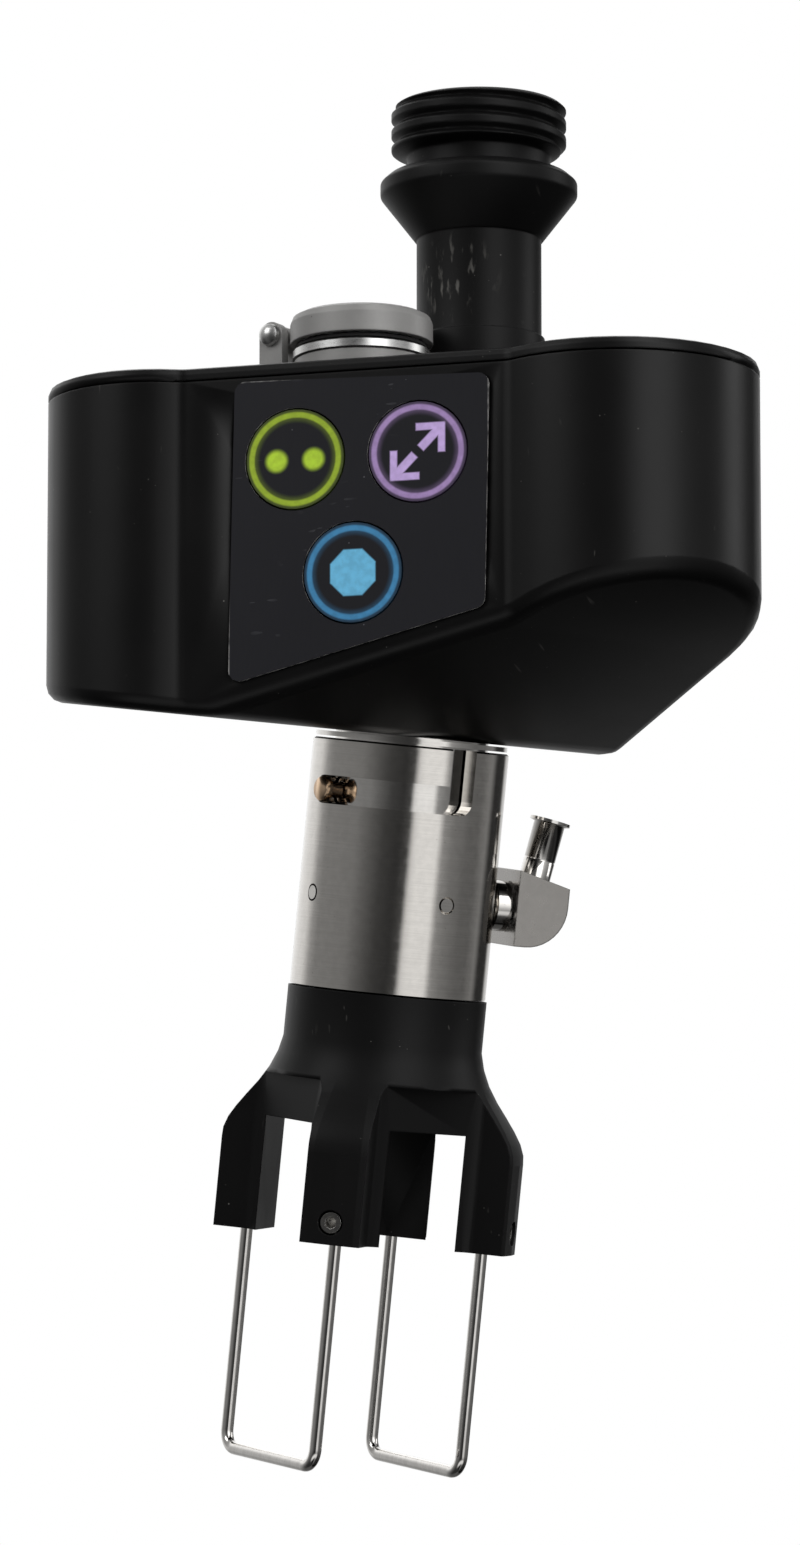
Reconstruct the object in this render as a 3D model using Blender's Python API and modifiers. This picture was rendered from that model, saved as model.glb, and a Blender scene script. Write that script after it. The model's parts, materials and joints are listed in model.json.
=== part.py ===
"""Beam scanner handpiece: a three-lobed black housing with a threaded arm tube, a capped socket and a keypad,
and below it a tilted bayonet sleeve that carries a gas nozzle, a four-legged crown and two wire loops.

All sizes are in millimetres and are turned into metres where meshes are made. The origin is the centre of the
arm tube's top face, +Z is up along the tube, and the keypad faces -Y.
"""

import math

import bmesh
import bpy
from mathutils import Matrix, Vector

MM = 0.001
GAP = 0.3  # clearance between pieces that touch

# Arm tube: heights are below its top face
TUBE_R = 10.25
TUBE_BORE_R = 7.5
THREAD_R = 14.4
THREAD_DEPTH = 1.0
THREAD_PITCH = 2.8
THREAD_TURNS = 3
NECK_R = 11.8
NECK_Z = -9.0
COLLAR_R = 16.2
COLLAR_Z = (-12.0, -13.3, -15.4)
COLLAR_TOP_R = 14.7
CONE_Z = -22.8
CONE_R = 10.5
BOSS_R = 10.8
BOSS_Z = -39.4
TUBE_TAIL_R = 9.0
TUBE_TAIL_Z = -53.0

# Housing outline: three lobes as (x, y, radius), and the flat keypad panel between the two at the front
LEFT_LOBE = (-49.8, -16.9, 17.9)
RIGHT_LOBE = (27.0, -13.1, 23.0)
BACK_LOBE = (-11.6, 20.3, 22.8)
PANEL_Y = -32.3
PANEL_FILLET_R = 4.0
ARC_STEP = math.radians(9.0)
WALL = 2.5
COVER_TOP = -48.5
SEAM_Z = -50.6
EDGE_ROUND = 2.6
COVER_ROUND = 1.1
SLOPE_Z = -103.7  # height of the sloping facet above the origin, and its rise along X and Y
SLOPE_RISE = (0.249, -0.217)

# Sleeve: it leans by TILT about the diagonal of X and Y, and hangs from the middle of the back lobe
TILT = math.radians(11.7)
SEAT_POINT = (-15.6, 13.8, -102.3)
SEAT_TO_SLEEVE = 1.4
SLEEVE_R = 16.15
SLEEVE_L = 40.7
SLEEVE_BORE_R = 13.0
LENS_BORE_R = 12.4
LENS_STEP_R = 10.9
LENS_STEP_Z = (-20.8, -24.9)
SPIGOT_R = 12.65
SPIGOT_BORE_R = 9.8
SPIGOT_END_Z = -15.5
FLANGE_R = 15.8
SLOT_W = 4.65
SLOT_Z = -8.45
SLOT_START = -41.0  # azimuths are in degrees from the front, -Y, towards +X
SLOT_END = 51.0
PLUG_AZ = (-42.0, 48.0, 228.0)
PLUG_R = 1.15
PLUG_Z = -25.5

# Gas nozzle, in the plane of its own azimuth: points are (distance from the sleeve's axis, height)
NOZZLE_AZ = 126.0
NOZZLE_Z = -25.0
NOZZLE_STEM_R = 4.25
NOZZLE_SHANK_R = 2.4
ELBOW_IN = 19.1
ELBOW_OUT = 28.0
ELBOW_TOP = -18.8
ELBOW_DROP = 2.4
ELBOW_BOTTOM = -31.4
ELBOW_ROUND = 7.0
ELBOW_W = 11.6
HOSE_TILT = math.radians(10.5)
HOSE_BASE = (23.7, -19.9)
HOSE_R = 2.6
HOSE_LIP_R = 3.4
HOSE_L = 9.9
HOSE_BORE_R = 1.5

# Crown and wires, below the sleeve's top edge
CROWN_R = 16.45
CROWN_TOP = -41.0
CROWN_FLARE = ((-49.4, 16.45), (-52.1, 17.1), (-54.8, 18.25), (-57.3, 19.8), (-59.7, 21.6), (-61.8, 23.1),
               (-63.7, 24.25), (-65.5, 24.9), (-67.0, 25.0))
LEG_R = 25.0
LEG_IN = 16.9
LEG_W = 9.9
LEG_END = -81.8
LEG_AZ = 4.0
CROWN_BORE_R = 13.1
CROWN_TENON_R = 12.1
CROWN_TENON_BORE_R = 10.3
POCKET_Z = -55.6
POCKET_FLAT = 16.6
RIM_Z = -62.8
WIRE_R = 1.03
WIRE_AT = 19.95
WIRE_END = -118.3
WIRE_BEND_R = 2.9
WIRE_TOP = -70.5
SCREW_Z = -78.2
SCREW_R = 1.75
SCREW_HEX_R = 1.0

# Socket with its hinged cap
SOCKET_XY = (-14.7, -17.8)
SOCKET_R = 10.9
SOCKET_NECK_R = 9.4
SOCKET_BORE_R = 8.2
CAP_R = 11.6
CAP_Z = (-43.3, -38.5)
HINGE_AZ = -106.0
HINGE_OUT = 15.2
HINGE_Z = -40.4
KNUCKLE_W = 3.4
EAR_W = 1.8
EAR_R = 2.2
HINGE_PIN_R = 0.9

# Keypad: key centres as (x, z)
KEYS = {"key_dots": (-21.2, -64.9), "key_arrows": (-0.7, -64.9), "key_stop": (-11.5, -84.0)}
KEY_R = 8.15
KEY_T = 1.0
KEY_WELL = 1.2
LABEL_T = 0.4
LABEL_CORNERS = ((-31.4, -51.6), (-32.4, -101.2), (10.4, -90.6), (11.2, -52.7))
LABEL_ROUND = 1.8

# Mirrors inside, on the beam's path
BEAM_Z = -75.0
MIRROR_Y_X = -12.0
MIRROR_SIZE = (8.0, 7.0, 1.2)
MOTOR_R = 5.5
COVER_SCREWS = ((-56.0, -14.0), (40.0, -13.1), (-22.0, 34.0), (-38.0, 2.0))
COVER_SCREW_R = 2.4

COLLECTION = "scanner_handpiece"


def clear_scene():
    for obj in list(bpy.data.objects):
        bpy.data.objects.remove(obj)


def collection(name):
    made = bpy.data.collections.new(name)
    bpy.context.scene.collection.children.link(made)
    return made


def material(name, colour, roughness, metallic=0.0):
    made = bpy.data.materials.new(name)
    made.use_nodes = True
    shader = made.node_tree.nodes["Principled BSDF"]
    shader.inputs["Base Color"].default_value = (*colour, 1.0)
    shader.inputs["Roughness"].default_value = roughness
    shader.inputs["Metallic"].default_value = metallic
    return made


def place(name, mesh, look=None, parent=None, matrix=None):
    """Links a piece, or a cutter where it has no look."""
    obj = bpy.data.objects.new(name, mesh)
    (PARTS if look else CUTTERS).objects.link(obj)
    if look:
        mesh.materials.append(LOOKS[look])
    else:
        obj.hide_render = True
        obj.display_type = "WIRE"
    obj.parent = parent
    if matrix is not None:
        obj.matrix_local = matrix
    return obj


def empty(name, matrix, parent=None):
    obj = bpy.data.objects.new(name, None)
    PARTS.objects.link(obj)
    obj.parent = parent
    obj.matrix_local = matrix
    return obj


def at(x, y, z):
    return Matrix.Translation(Vector((x, y, z)) * MM)


def mesh_of(bm, name):
    bmesh.ops.recalc_face_normals(bm, faces=bm.faces)
    mesh = bpy.data.meshes.new(name)
    bm.to_mesh(mesh)
    bm.free()
    return mesh


def smooth(obj, angle=35.0):
    obj.data.shade_smooth()
    obj.data.set_sharp_from_angle(angle=math.radians(angle))
    return obj


def turned(name, profile, look=None, parent=None, matrix=None, steps=40, loop=True):
    """A solid of revolution about Z. Its (radius, z) profile runs down the outer side, then up any bore."""
    mesh = bpy.data.meshes.new(name)
    points = [(r * MM, 0.0, z * MM) for r, z in profile]
    edges = [(i, i + 1) for i in range(len(points) - 1)]
    if loop:
        edges.append((len(points) - 1, 0))
    mesh.from_pydata(points, edges, [])
    obj = place(name, mesh, look, parent, matrix)
    screw = obj.modifiers.new("turn", "SCREW")
    screw.steps = steps
    screw.render_steps = steps
    screw.use_merge_vertices = True
    screw.merge_threshold = 0.00001
    return obj


def rod(name, radius, z0, z1, look=None, parent=None, matrix=None, sides=32):
    """A cylinder along its own Z, from z0 to z1."""
    bm = bmesh.new()
    middle = Matrix.Translation((0, 0, (z0 + z1) / 2 * MM))
    bmesh.ops.create_cone(bm, cap_ends=True, segments=sides, radius1=radius * MM, radius2=radius * MM,
                          depth=abs(z1 - z0) * MM, matrix=middle)
    return smooth(place(name, mesh_of(bm, name), look, parent, matrix))


def block(name, low, high, look=None, parent=None, matrix=None):
    """A box between two corners."""
    low = Vector(low) * MM
    high = Vector(high) * MM
    bm = bmesh.new()
    size = Matrix.Diagonal((*(high - low), 1.0))
    bmesh.ops.create_cube(bm, size=1.0, matrix=Matrix.Translation((low + high) / 2) @ size)
    return place(name, mesh_of(bm, name), look, parent, matrix)


def plate(name, outline, z0, z1, look=None, parent=None, matrix=None):
    """A flat outline in XY, made thick from z0 to z1."""
    curve = bpy.data.curves.new(name, "CURVE")
    curve.dimensions = "2D"
    curve.fill_mode = "BOTH"
    curve.extrude = (z1 - z0) / 2 * MM
    spline = curve.splines.new("POLY")
    spline.points.add(len(outline) - 1)
    for point, (x, y) in zip(spline.points, outline):
        point.co = (x * MM, y * MM, 0.0, 1.0)
    spline.use_cyclic_u = True
    guide = bpy.data.objects.new(name, curve)
    bpy.context.scene.collection.objects.link(guide)
    bpy.context.view_layer.update()
    mesh = bpy.data.meshes.new_from_object(guide.evaluated_get(bpy.context.evaluated_depsgraph_get()))
    bpy.data.objects.remove(guide)
    bm = bmesh.new()
    bm.from_mesh(mesh)
    bpy.data.meshes.remove(mesh)
    bmesh.ops.remove_doubles(bm, verts=bm.verts, dist=0.000001)
    bmesh.ops.dissolve_limit(bm, angle_limit=0.001, verts=bm.verts, edges=bm.edges)
    bmesh.ops.translate(bm, verts=bm.verts, vec=(0, 0, (z0 + z1) / 2 * MM))
    return place(name, mesh_of(bm, name), look, parent, matrix)


def boolean(obj, other, operation="DIFFERENCE"):
    modifier = obj.modifiers.new(other.name, "BOOLEAN")
    modifier.operation = operation
    modifier.object = other
    return obj


def bevel(obj, width, segments=2, angle=50.0):
    modifier = obj.modifiers.new("edge_round", "BEVEL")
    modifier.width = width * MM
    modifier.segments = segments
    modifier.limit_method = "ANGLE"
    modifier.angle_limit = math.radians(angle)
    return obj


def direction(azimuth):
    """Outward direction in XY at an azimuth in degrees."""
    angle = math.radians(azimuth)
    return Vector((math.sin(angle), -math.cos(angle), 0.0))


def outward(azimuth, z, distance=0.0):
    """Local Z runs outward at this azimuth, and local Y runs up."""
    out = direction(azimuth)
    side = Vector((0, 0, 1)).cross(out)
    turn = Matrix((side, (0, 0, 1), out)).transposed().to_4x4()
    return Matrix.Translation((out * distance + Vector((0, 0, z))) * MM) @ turn


def upright_plane(azimuth):
    """Local X runs outward at this azimuth, local Y up and local Z across."""
    out = direction(azimuth)
    across = out.cross(Vector((0, 0, 1)))
    return Matrix((out, (0, 0, 1), across)).transposed().to_4x4()


def arc(centre, radius, start, end):
    """Points along an arc from one angle to another, in radians, both ends included."""
    steps = max(1, math.ceil(abs(end - start) / ARC_STEP))
    turn = [start + (end - start) * i / steps for i in range(steps + 1)]
    return [(centre[0] + radius * math.cos(a), centre[1] + radius * math.sin(a)) for a in turn]


def tangent_angle(first, second):
    """Angle of the outward normal of the line that touches two circles, passing them anticlockwise."""
    dx, dy = second[0] - first[0], second[1] - first[1]
    angle = math.atan2(dy, dx) - math.acos((first[2] - second[2]) / math.hypot(dx, dy))
    return angle % (2 * math.pi)


def panel_fillet(lobe, side):
    """Centre of the hollow fillet between the panel and a lobe, and its direction from the lobe's centre."""
    drop = lobe[1] - (PANEL_Y - PANEL_FILLET_R)
    run = side * math.sqrt((lobe[2] + PANEL_FILLET_R) ** 2 - drop ** 2)
    return (lobe[0] + run, PANEL_Y - PANEL_FILLET_R), math.atan2(-drop, run)


def housing_outline(inset=0.0):
    """Anticlockwise outline of the housing, moved inwards by inset."""
    to_back = tangent_angle(RIGHT_LOBE, BACK_LOBE)
    to_left = tangent_angle(BACK_LOBE, LEFT_LOBE)
    left_centre, left_angle = panel_fillet(LEFT_LOBE, 1)
    right_centre, right_angle = panel_fillet(RIGHT_LOBE, -1)
    fillet = PANEL_FILLET_R + inset
    points = arc(RIGHT_LOBE, RIGHT_LOBE[2] - inset, right_angle, to_back)
    points += arc(BACK_LOBE, BACK_LOBE[2] - inset, to_back, to_left)
    points += arc(LEFT_LOBE, LEFT_LOBE[2] - inset, to_left, left_angle + 2 * math.pi)
    points += arc(left_centre, fillet, left_angle + math.pi, math.pi / 2)
    points += arc(right_centre, fillet, math.pi / 2, right_angle + math.pi)
    return points


def half_space(name, point, normal):
    """A large box whose face passes through a point and that lies on the normal's side."""
    reach = 200.0
    turn = Vector(normal).to_track_quat("Z", "Y").to_matrix().to_4x4()
    matrix = Matrix.Translation(Vector(point) * MM) @ turn
    return block(name, (-reach, -reach, 0.0), (reach, reach, reach), None, None, matrix)


def housing_core(name, inset, top, look=None):
    """The housing's solid, inset on every side, with its facet and the sleeve's seat cut off below."""
    core = plate(name, housing_outline(inset), -125.0, top, look)
    slope_down = Vector((SLOPE_RISE[0], SLOPE_RISE[1], -1.0)).normalized()
    slope_point = Vector((0.0, 0.0, SLOPE_Z)) - slope_down * inset
    boolean(core, half_space(name + "_slope_cut", slope_point, slope_down))
    seat_point = Vector(SEAT_POINT) - SLEEVE_DOWN * inset
    boolean(core, half_space(name + "_seat_cut", seat_point, SLEEVE_DOWN))
    return core


def housing_shell():
    shell = housing_core("housing_shell", 0.0, -40.0, "black_anodised")
    bevel(shell, EDGE_ROUND, 3, 26.0)
    boolean(shell, block("seam_cut", (-90, -60, SEAM_Z - GAP), (70, 60, -20)))
    boolean(shell, housing_core("housing_hollow", WALL, -30.0))
    boolean(shell, rod("seat_hole", SPIGOT_R + GAP, -3.0, 12.0, None, SLEEVE_AXIS, None, 40))
    for name, (x, z) in KEYS.items():
        well = rod(name + "_well", KEY_R + GAP, -1.0, KEY_WELL, None, None, facing_panel(x, z), 40)
        boolean(shell, well)
    return smooth(shell)


def facing_panel(x, z):
    """Local Z runs into the keypad panel."""
    return at(x, PANEL_Y, z) @ Matrix.Rotation(-math.pi / 2, 4, "X")


def housing_cover():
    cover = plate("housing_cover", housing_outline(), -62.0, COVER_TOP, "black_anodised")
    bevel(cover, COVER_ROUND, 2)
    boolean(cover, block("cover_cut", (-90, -60, -80), (70, 60, SEAM_Z)))
    boolean(cover, rod("tube_hole", TUBE_TAIL_R + GAP, -60, -40, None, None, None, 40))
    boolean(cover, rod("socket_hole", SOCKET_NECK_R + GAP, -60, -40, None, None, at(*SOCKET_XY, 0), 40))
    for i, (x, y) in enumerate(COVER_SCREWS, 1):
        hole = rod(f"cover_screw_hole_{i}", COVER_SCREW_R + GAP, -50.1, -40, None, None, at(x, y, 0), 24)
        boolean(cover, hole)
    return smooth(cover)


def hex_screw(name, radius, length, hex_radius, hex_depth, look, parent, matrix, sides=24):
    """A headless screw whose outer end, at local Z = 0, has a hexagon socket."""
    screw = rod(name, radius, -length, 0.0, look, parent, matrix, sides)
    socket = rod(name + "_hex", hex_radius, -hex_depth, 1.0, None, parent, matrix, 6)
    return boolean(screw, socket)


def cover_screws():
    for i, (x, y) in enumerate(COVER_SCREWS, 1):
        top = at(x, y, COVER_TOP - 0.1)
        hex_screw(f"cover_screw_{i}", COVER_SCREW_R, 1.1, 1.2, 0.8, "dark_steel", None, top)


def thread_profile():
    """Down the outside of the thread's ridges, from the chamfered top to the neck."""
    points = [(THREAD_R - THREAD_DEPTH, 0.0)]
    for turn in range(THREAD_TURNS):
        crest = -0.6 - THREAD_PITCH * turn
        points.append((THREAD_R, crest))
        points.append((THREAD_R, crest - 1.1))
        points.append((THREAD_R - THREAD_DEPTH, crest - 1.95))
    points.append((NECK_R, NECK_Z))
    return points


def arm_tube():
    profile = thread_profile()
    profile += [(NECK_R, COLLAR_Z[0]), (COLLAR_TOP_R, COLLAR_Z[0])]
    profile += [(COLLAR_R, COLLAR_Z[1]), (COLLAR_R, COLLAR_Z[2])]
    profile += [(CONE_R, CONE_Z), (TUBE_R, CONE_Z - 0.1), (TUBE_R, BOSS_Z), (BOSS_R, BOSS_Z)]
    profile += [(BOSS_R, COVER_TOP + GAP), (TUBE_TAIL_R, COVER_TOP + GAP), (TUBE_TAIL_R, TUBE_TAIL_Z)]
    profile += [(TUBE_BORE_R, TUBE_TAIL_Z), (TUBE_BORE_R, 0.0)]
    return turned("arm_tube", profile, "black_anodised", steps=40)


def socket_parts():
    centre = at(*SOCKET_XY, 0)
    foot = COVER_TOP + GAP
    body = [(SOCKET_NECK_R, -43.7), (SOCKET_NECK_R, -46.1), (SOCKET_R, -46.1), (SOCKET_R, foot),
            (SOCKET_NECK_R, foot), (SOCKET_NECK_R, -55.0), (SOCKET_BORE_R, -55.0), (SOCKET_BORE_R, -43.7)]
    turned("socket_body", body, "grey_cast", None, centre, 32)
    inner = SOCKET_NECK_R + GAP
    ring = [(11.0, -44.4), (11.2, -44.6), (11.2, -45.8), (inner, -45.8), (inner, -44.4)]
    turned("socket_ring", ring, "bright_steel", None, centre, 32)
    seal = [(10.7, -43.6), (10.7, -44.1), (inner, -44.1), (inner, -43.6)]
    turned("socket_seal", seal, "black_rubber", None, centre, 32)
    insert = rod("socket_insert", SOCKET_BORE_R - GAP, -53.0, -48.0, "black_plastic", None, centre)
    for i in range(7):
        angle = 2 * math.pi * i / 6
        radius = 4.6 if i < 6 else 0.0
        x = SOCKET_XY[0] + radius * math.cos(angle)
        y = SOCKET_XY[1] + radius * math.sin(angle)
        boolean(insert, rod(f"contact_{i}", 0.6, -49.0, -45.0, None, None, at(x, y, 0), 10), "UNION")


def hinge_matrix():
    """Local Z along the cap's hinge pin, local X outward from the socket, local Y down."""
    out = direction(HINGE_AZ)
    along = Vector((0, 0, 1)).cross(out)
    down = along.cross(out)
    turn = Matrix((out, down, along)).transposed().to_4x4()
    centre = out * HINGE_OUT + Vector((*SOCKET_XY, HINGE_Z))
    return Matrix.Translation(centre * MM) @ turn


def socket_cap():
    """The lid turns about the hinge pin at its rim."""
    top, bottom = CAP_Z[1] - HINGE_Z, CAP_Z[0] - HINGE_Z
    centre = HINGE_AXIS.matrix_local.inverted() @ at(*SOCKET_XY, HINGE_Z)
    profile = [(0.0, top), (CAP_R - 1.4, top), (CAP_R - 0.4, top - 0.5), (CAP_R, top - 1.5), (CAP_R, bottom),
               (CAP_R - 1.6, bottom), (CAP_R - 1.6, bottom + 1.4), (0.0, bottom + 1.4)]
    cap = turned("socket_cap", profile, "grey_cast", HINGE_AXIS, centre, loop=False)
    half = KNUCKLE_W / 2
    arm = block("knuckle_arm", (-HINGE_OUT + CAP_R - 1.0, -1.2, -half), (0.2, 1.4, half), None, HINGE_AXIS)
    boolean(cap, arm, "UNION")
    boolean(cap, rod("knuckle", EAR_R - 0.2, -half, half, None, HINGE_AXIS, None, 20), "UNION")
    boolean(cap, rod("knuckle_hole", HINGE_PIN_R + GAP, -9, 9, None, HINGE_AXIS, None, 16))


def hinge_bracket():
    """Two ears on a foot that stands on the cover, either side of the cap's knuckle."""
    foot = HINGE_Z - COVER_TOP - GAP
    ear_in = KNUCKLE_W / 2 + GAP
    ear_out = ear_in + EAR_W
    bracket = block("hinge_bracket", (-3.6, foot - 1.8, -ear_out), (3.4, foot, ear_out), "grey_cast",
                    HINGE_AXIS)
    for side in (-1, 1):
        low, high = sorted((side * ear_in, side * ear_out))
        ear = block(f"ear_{side}", (-2.2, 0.0, low), (2.2, foot - 0.5, high), None, HINGE_AXIS)
        boolean(bracket, ear, "UNION")
        boolean(bracket, rod(f"ear_eye_{side}", EAR_R, low, high, None, HINGE_AXIS, None, 24), "UNION")
    boolean(bracket, rod("bracket_hole", HINGE_PIN_R + GAP, -9, 9, None, HINGE_AXIS, None, 16))
    end = ear_out + GAP
    pin = [(0.0, end + 1.3), (1.0, end + 1.15), (1.7, end + 0.6), (1.85, end), (HINGE_PIN_R, end),
           (HINGE_PIN_R, -ear_out), (0.0, -ear_out)]
    turned("hinge_pin", pin, "bright_steel", HINGE_AXIS, steps=24, loop=False)


def rounded_corners(corners, radius, steps=4):
    """An outline with each corner of a polygon rounded by an arc."""
    points = []
    for i, corner in enumerate(corners):
        here = Vector(corner)
        before = (Vector(corners[i - 1]) - here).normalized()
        after = (Vector(corners[(i + 1) % len(corners)]) - here).normalized()
        half = before.angle(after) / 2
        centre = here + (before + after).normalized() * radius / math.sin(half)
        first = here + before * radius / math.tan(half) - centre
        last = here + after * radius / math.tan(half) - centre
        for step in range(steps + 1):
            spoke = first.lerp(last, step / steps).normalized() * radius
            points.append(tuple(centre + spoke))
    return points


def keypad():
    """A thin overlay on the panel, with three round keys that press into wells behind it."""
    outline = rounded_corners([(x, -z) for x, z in LABEL_CORNERS], LABEL_ROUND)
    front = at(0, PANEL_Y, 0) @ Matrix.Rotation(-math.pi / 2, 4, "X")
    label = plate("keypad_label", outline, -GAP - LABEL_T, -GAP, "keypad_film", None, front)
    for name, (x, z) in KEYS.items():
        face = facing_panel(x, z)
        boolean(label, rod(name + "_hole", KEY_R + GAP, -2.0, 1.0, None, None, face, 40))
        top = -GAP - LABEL_T
        rod(name, KEY_R, top, top + KEY_T, "keypad_film", None, face, 40)


def spigot():
    """Fixed steel tube that the sleeve plugs onto, with a flange under the housing and a nut inside it."""
    seat = SEAT_TO_SLEEVE
    profile = [(SPIGOT_R, seat + 6.0), (SPIGOT_R, seat - GAP), (FLANGE_R, seat - GAP), (FLANGE_R, GAP),
               (SPIGOT_R, GAP), (SPIGOT_R, SPIGOT_END_Z), (SPIGOT_BORE_R, SPIGOT_END_Z),
               (SPIGOT_BORE_R, seat + 6.0)]
    tube = turned("spigot", profile, "bright_steel", SLEEVE_AXIS)
    hole = rod("pin_hole", 1.1, 8.0, 14.0, None, SLEEVE_AXIS, outward(SLOT_START, SLOT_Z), 16)
    boolean(tube, hole)
    low = seat + WALL + GAP
    inner = SPIGOT_R + GAP
    nut = [(15.0, low + 2.6), (15.0, low), (inner, low), (inner, low + 2.6)]
    turned("spigot_nut", nut, "dark_steel", SLEEVE_AXIS, steps=32)
    pin = [(0.0, 16.9), (1.7, 16.9), (2.0, 16.6), (2.0, 15.4), (1.3, 15.2), (1.3, 13.1), (0.8, 13.1),
           (0.8, 10.3), (0.0, 10.3)]
    turned("bayonet_pin", pin, "brass", SLEEVE_AXIS, outward(SLOT_START, SLOT_Z), 24, False)


def sector(name, inner, outer, start, end, z0, z1):
    """A cutter in the shape of a bent bar, between two radii and two azimuths."""
    count = 12
    turn = [math.radians(start + (end - start) * i / count - 90.0) for i in range(count + 1)]
    far = [(outer * math.cos(a), outer * math.sin(a)) for a in turn]
    near = [(inner * math.cos(a), inner * math.sin(a)) for a in reversed(turn)]
    return plate(name, far + near, z0, z1, None, SLEEVE_AXIS)


def sleeve():
    profile = [(SLEEVE_R - 0.3, 0.0), (SLEEVE_R, -0.3), (SLEEVE_R, -SLEEVE_L), (LENS_BORE_R, -SLEEVE_L),
               (LENS_BORE_R, LENS_STEP_Z[1]), (LENS_STEP_R, LENS_STEP_Z[1]), (LENS_STEP_R, LENS_STEP_Z[0]),
               (SLEEVE_BORE_R, LENS_STEP_Z[0]), (SLEEVE_BORE_R, 0.0)]
    tube = turned("sleeve", profile, "brushed_steel", SLEEVE_AXIS)
    half = SLOT_W / 2
    boolean(tube, sector("slot_arc", 11.0, 18.0, SLOT_START, SLOT_END, SLOT_Z - half, SLOT_Z + half))
    for name, azimuth in (("slot_end", SLOT_START), ("slot_corner", SLOT_END)):
        boolean(tube, rod(name, half, 11.0, 18.0, None, SLEEVE_AXIS, outward(azimuth, SLOT_Z), 20))
    mouth = block("slot_mouth", (-half, 0.0, 11.0), (half, 12.0, 18.0), None, SLEEVE_AXIS,
                  outward(SLOT_END, SLOT_Z))
    boolean(tube, mouth)
    for i, azimuth in enumerate(PLUG_AZ, 1):
        out = outward(azimuth, PLUG_Z)
        boolean(tube, rod(f"plug_hole_{i}", PLUG_R + GAP, 14.1, 18.5, None, SLEEVE_AXIS, out, 16))
        rod(f"sleeve_plug_{i}", PLUG_R, 14.4, SLEEVE_R, "bright_steel", SLEEVE_AXIS, out, 16)
    out = outward(NOZZLE_AZ, NOZZLE_Z)
    boolean(tube, rod("nozzle_hole", NOZZLE_SHANK_R + GAP, 8.0, 18.0, None, SLEEVE_AXIS, out, 20))
    return smooth(tube)


def lens_parts():
    step = LENS_STEP_Z[1] - GAP
    radius = LENS_BORE_R - GAP
    lens = [(0.0, step - 0.1), (10.0, step - 0.6), (radius, step - 0.6)]
    lens += [(radius, step - 3.0), (0.0, step - 3.0)]
    turned("focus_lens", lens, "lens_glass", SLEEVE_AXIS, steps=32, loop=False)
    top = step - 3.0 - GAP
    ring = [(radius, top), (radius, top - 2.4), (LENS_STEP_R, top - 2.4), (LENS_STEP_R, top)]
    turned("lens_ring", ring, "dark_steel", SLEEVE_AXIS, steps=32)


def elbow_outline():
    """Side of the nozzle block: a sloping top and a large round at the outer lower corner."""
    slope = (ELBOW_OUT - ELBOW_IN, -ELBOW_DROP)
    centre = (ELBOW_OUT - ELBOW_ROUND, ELBOW_BOTTOM + ELBOW_ROUND)
    points = [(ELBOW_IN, ELBOW_TOP), (ELBOW_IN, ELBOW_BOTTOM)]
    points += arc(centre, ELBOW_ROUND, -math.pi / 2, 0.0)
    points.append((ELBOW_IN + slope[0], ELBOW_TOP + slope[1]))
    return [(x, z - NOZZLE_Z) for x, z in points]


def gas_nozzle():
    stem = [(0.0, ELBOW_IN - GAP), (NOZZLE_STEM_R, ELBOW_IN - GAP), (NOZZLE_STEM_R, SLEEVE_R + GAP),
            (NOZZLE_SHANK_R, SLEEVE_R + GAP), (NOZZLE_SHANK_R, 13.2), (0.0, 13.2)]
    turned("nozzle_stem", stem, "bright_steel", SLEEVE_AXIS, outward(NOZZLE_AZ, NOZZLE_Z), 24, False)
    side = upright_plane(0.0)
    half = ELBOW_W / 2
    elbow = plate("nozzle_elbow", elbow_outline(), -half, half, "brushed_steel", ELBOW_AXIS, side)
    tilt = Matrix.Translation(Vector((HOSE_BASE[0], HOSE_BASE[1] - NOZZLE_Z, 0.0)) * MM)
    lean = side @ tilt @ Matrix.Rotation(-HOSE_TILT, 4, "Z") @ Matrix.Rotation(-math.pi / 2, 4, "X")
    boolean(elbow, rod("hose_seat", HOSE_R + GAP, -1.6, 6.0, None, ELBOW_AXIS, lean, 24))
    profile = [(HOSE_LIP_R, HOSE_L), (HOSE_LIP_R, HOSE_L - 0.5), (HOSE_R, HOSE_L - 0.7), (HOSE_R, 3.2),
               (HOSE_R - 0.15, 3.05), (HOSE_R, 2.9), (HOSE_R, -1.3), (HOSE_BORE_R, -1.3),
               (HOSE_BORE_R, HOSE_L)]
    turned("hose_barb", profile, "bright_steel", ELBOW_AXIS, lean, 24)


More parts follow.
